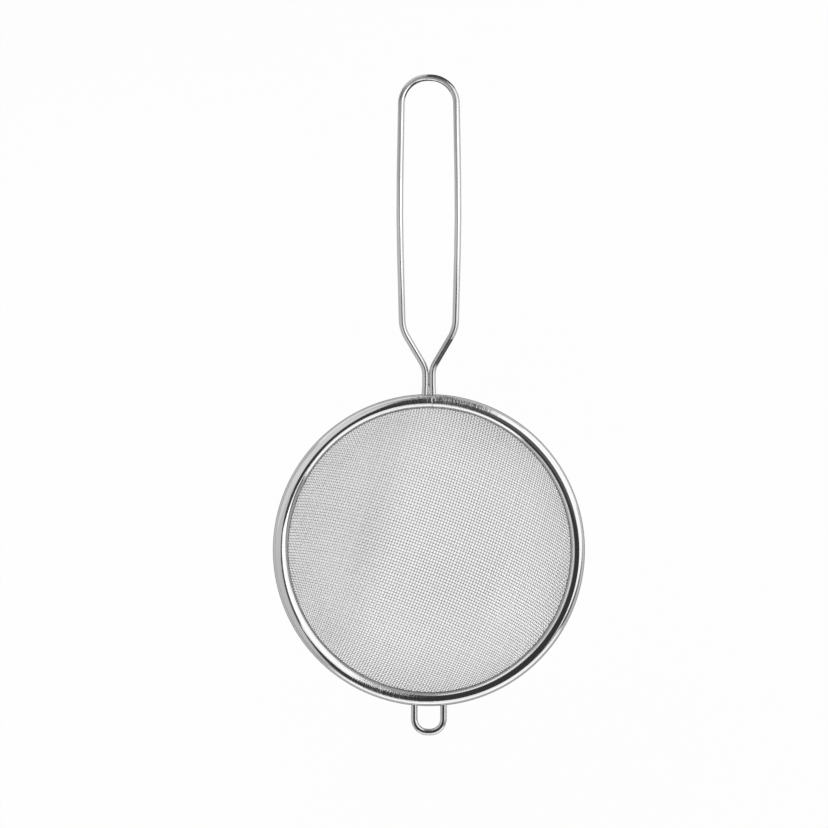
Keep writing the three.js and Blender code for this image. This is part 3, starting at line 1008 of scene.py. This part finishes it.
# Name, place with its rise above the middle of the rim, size, rotation, radiance, pieces lit if not all
SOFTBOXES = (
    ("front_right", (2.025, -2.5, 1.76), (3.95, 3.2), facing(-90), 1.25, ""),
    ("front_left", (-0.975, -2.5, 1.26), (2.05, 2.2), facing(-90), 1.25, ""),
    ("back_card", (-0.845, 1.813, 0.5), (1.6, 1.0), facing(115), 0.72, ""),
    ("handle_grey", (-0.285, 0.1875, CARD_RISE), (0.59, 0.075), hanging(0), 0.42, ""),
    ("handle_white", (0.045, 0.165, CARD_RISE), (0.07, 0.08), hanging(0), 1.2, "handle_"),
    ("handle_end", (-0.0565, 0.275, CARD_RISE), (0.107, 0.07), hanging(0), 0.6, "handle_"),
    ("cloth_key", (2.5, -0.45, 0.71), (1.6, 1.4), facing(-10.2), 4.5, "cloth_"),
    ("rim_low", (1.93, 1.25, 0.15), (1.5, 0.5), facing(33), 1.2, "rim_"),
    ("rim_left", (-0.297, 0.165, CARD_RISE - 0.001), (0.526, 0.27), hanging(0), 0.2, "rim_"),
    ("rim_top", (0.057, 0.056, CARD_RISE), (0.084, 0.088), hanging(0), 0.09, "rim_"),
    ("rim_in_left", (-0.0417, -0.0081, 0.03), (0.021, 0.036), hanging(191), 1.3, "rim_"),
    ("rim_in_front", (-0.0361, -0.0374, 0.03), (0.021, 0.032), hanging(226), 1.3, "rim_"),
)


LEE_EDGE = (0.18, 0.46)  # from the bowl's middle to where the painted lee shade on the floor starts and is full, in rim radii
BOWL_EDGE = 0.8  # where the painted shade under the bowl starts to fade, in rim radii
FLOOR_ROUGHNESS = 0.9


def floor_material(stage):
    """Pale floor: part plain white, to the camera, to gloss and through the cloth, with the rest left to the
    light, so that it keeps a shadow. A mask by place, under the bowl and most on its side away from the
    light,
    lowers the white share: there the floor is darker partly by the real shadow in the lit paint and partly by
    painted shade, whose place and edges the mask sets."""
    material, tree = new_material("pale_floor")
    paint = tree.nodes["Principled BSDF"]
    colour = (*stage.floor, 1.0)
    feed(tree, paint, {"Base Color": colour, "Roughness": FLOOR_ROUGHNESS, "Specular IOR Level": 0.0})
    path = add_node(tree, "ShaderNodeLightPath").outputs
    here = add_node(tree, "ShaderNodeTexCoord").outputs["Object"]
    reach = measure(tree, "LENGTH", here)
    # Painted shade: a mask by place that lowers the floor's white share under the bowl, most in the lee
    inside = ramp(tree, reach, BOWL_EDGE * RIM_RADIUS, RIM_RADIUS, 1.0, 0.0, "SMOOTHSTEP")
    start, full = (edge * RIM_RADIUS for edge in LEE_EDGE)
    under, lee = stage.under_glow - stage.glow, stage.lee_glow - stage.glow
    painted_shade = ramp(tree, measure(tree, "DOT_PRODUCT", here, LEE), start, full, under, lee, "SMOOTHSTEP")
    bare = calculate(tree, "MULTIPLY_ADD", inside, painted_shade, stage.glow)
    seen = calculate(tree, "MULTIPLY", path["Is Camera Ray"], bare)
    bounced = calculate(tree, "MAXIMUM", path["Is Glossy Ray"], path["Is Transmission Ray"])
    part = calculate(tree, "MULTIPLY_ADD", bounced, stage.shine, seen)
    white = add_node(tree, "ShaderNodeEmission", {"Strength": 1.0}).outputs[0]
    mix = add_node(tree, "ShaderNodeMixShader", {"Fac": part, 1: paint.outputs[0], 2: white})
    feed(tree, tree.nodes["Material Output"], {"Surface": mix.outputs[0]})
    return material


SKY_RISE = (0.12, 0.45)  # rise, in a length of 1, between which the room goes from light to dark


def room_light(world, stage):
    """Soft room: light near the horizon, dark overhead, where the camera stands."""
    world.use_nodes = True
    tree = world.node_tree
    way = add_node(tree, "ShaderNodeTexCoord").outputs["Generated"]
    rise = add_node(tree, "ShaderNodeSeparateXYZ", {0: way}).outputs["Z"]
    room = blend(tree, stage.sky_low, stage.sky_high, ramp(tree, rise, *SKY_RISE, shape="SMOOTHSTEP"))
    feed(tree, tree.nodes["Background"], {"Color": room})


# Operators, in the order in which they run


class STRAINER_OT_cloth(bpy.types.Operator):
    """Weave the bowl's warp and weft"""

    bl_idname = "strainer.cloth"
    bl_label = "Woven bowl"

    def execute(self, context):
        cloth = context.scene.strainer_cloth
        net, over = whole_net(cloth)
        lift = over * cloth.wire / 2
        sets = {
            "cloth_warp": (net.transpose(1, 0, 2), lift.T, cloth.warp_step),
            "cloth_weft": (net, -lift, cloth.weft_step),
        }
        for name, (crossings, rise, step) in sets.items():
            cuts = even_cuts(crossings, len(CLOTH_PARTS))
            for letter, part, lifts in zip(CLOTH_PARTS, np.split(crossings, cuts), np.split(rise, cuts)):
                weave_wires(f"{name}_{letter}", cloth, part, lifts, step)
        return {"FINISHED"}


class STRAINER_OT_rim(bpy.types.Operator):
    """Roll the rim's strip, and finish the core wire inside it"""

    bl_idname = "strainer.rim"
    bl_label = "Rolled rim"

    def execute(self, context):
        rim_strip(context.scene.strainer_rim)
        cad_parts["rim_core_wire"].material_slots[0].material = slot_material("wire_steel")
        return {"FINISHED"}


class STRAINER_OT_wires(bpy.types.Operator):
    """Bend the handle and the rest hook"""

    bl_idname = "strainer.wires"
    bl_label = "Handle and hook"

    def execute(self, context):
        wires = context.scene.strainer_wires
        wire_piece("handle_loop", handle_corners(wires), wires, "handle_wire")
        wire_piece("hook_loop", hook_corners(wires), wires, "rest_hook")
        return {"FINISHED"}


class STRAINER_OT_welds(bpy.types.Operator):
    """Lay the welds at the wires' roots"""

    bl_idname = "strainer.welds"
    bl_label = "Welds"

    def execute(self, context):
        welds, wires = context.scene.strainer_welds, context.scene.strainer_wires
        leg = wires.hook_width / 2
        handle = (0, RIM_RADIUS + welds.reach, CORE_LEVEL - welds.sunk)
        hook_y = -math.sqrt(RIM_RADIUS**2 - leg**2) - welds.hook_reach
        hook_z = CORE_LEVEL - welds.hook_sunk
        weld_mound("weld_handle", handle, welds.handle, "handle_weld")
        for side, x in (("left", -leg), ("right", leg)):
            weld_mound(f"weld_hook_{side}", (x, hook_y, hook_z), welds.hook, f"hook_weld_{side}")
        return {"FINISHED"}


class STRAINER_OT_stage(bpy.types.Operator):
    """Set the floor, the lamps, the room and the camera"""

    bl_idname = "strainer.stage"
    bl_label = "Stage"

    def execute(self, context):
        scene = context.scene
        stage = scene.strainer_stage
        half = stage.floor_size / 2
        corners = [(-half, -half, 0), (half, -half, 0), (half, half, 0), (-half, half, 0)]
        stage_sheet("floor", corners, floor_material(stage))

        for name, corners, rise, radiance in LEVEL_CARDS:
            light_panel(name, [(x, y, rise) for x, y in corners], radiance)
        for name, near, far in FLAGS:
            corners = [(*near[:2], FLAG_FOOT), (*far[:2], FLAG_FOOT), far, near]
            flag = light_panel(name, corners, FLAG_RADIANCE)
            flag.visible_shadow = False
            flag.visible_diffuse = False
        meshes = [piece for piece in scene.objects if piece.type == "MESH"]
        for name, place, size, turn, radiance, lit in SOFTBOXES:
            lamp = softbox(name, place, size, turn, radiance)
            if lit:
                light_only(lamp, [piece for piece in meshes if piece.name.startswith(lit)])

        world = scene.world or bpy.data.worlds.new("room")
        scene.world = world
        room_light(world, stage)

        camera = bpy.data.cameras.new("camera")
        camera.lens = camera.sensor_width * stage.camera_height / stage.view_width
        holder = bpy.data.objects.new("camera", camera)
        holder.location = (stage.view_x, stage.view_y, CORE_LEVEL + stage.camera_height)
        scene.collection.objects.link(holder)
        scene.camera = holder
        scene.view_settings.view_transform = "Standard"
        return {"FINISHED"}


OPERATORS = (
    STRAINER_OT_cloth,
    STRAINER_OT_rim,
    STRAINER_OT_wires,
    STRAINER_OT_welds,
    STRAINER_OT_stage,
)


class STRAINER_PT_sidebar(bpy.types.Panel):
    """The strainer's sizes, finishes and building steps"""

    bl_idname = "STRAINER_PT_sidebar"
    bl_label = "Mesh strainer"
    bl_space_type = "VIEW_3D"
    bl_region_type = "UI"
    bl_category = "Strainer"

    def draw(self, context):
        for operator in OPERATORS:
            self.layout.operator(operator.bl_idname)
        for name, group in GROUPS.items():
            box = self.layout.box()
            box.label(text=group.__doc__.rstrip("."))
            for key in group.__annotations__:
                box.prop(getattr(context.scene, name), key)


CLASSES = (*GROUPS.values(), *OPERATORS, STRAINER_PT_sidebar)


def register():
    for cls in CLASSES:
        bpy.utils.register_class(cls)
    for name, group in GROUPS.items():
        setattr(bpy.types.Scene, name, PointerProperty(type=group))


def unregister():
    for name in GROUPS:
        delattr(bpy.types.Scene, name)
    for cls in reversed(CLASSES):
        bpy.utils.unregister_class(cls)


def main():
    register()
    bpy.ops.strainer.cloth()
    bpy.ops.strainer.rim()
    bpy.ops.strainer.wires()
    bpy.ops.strainer.welds()
    bpy.ops.strainer.stage()


if __name__ == "__main__":
    main()
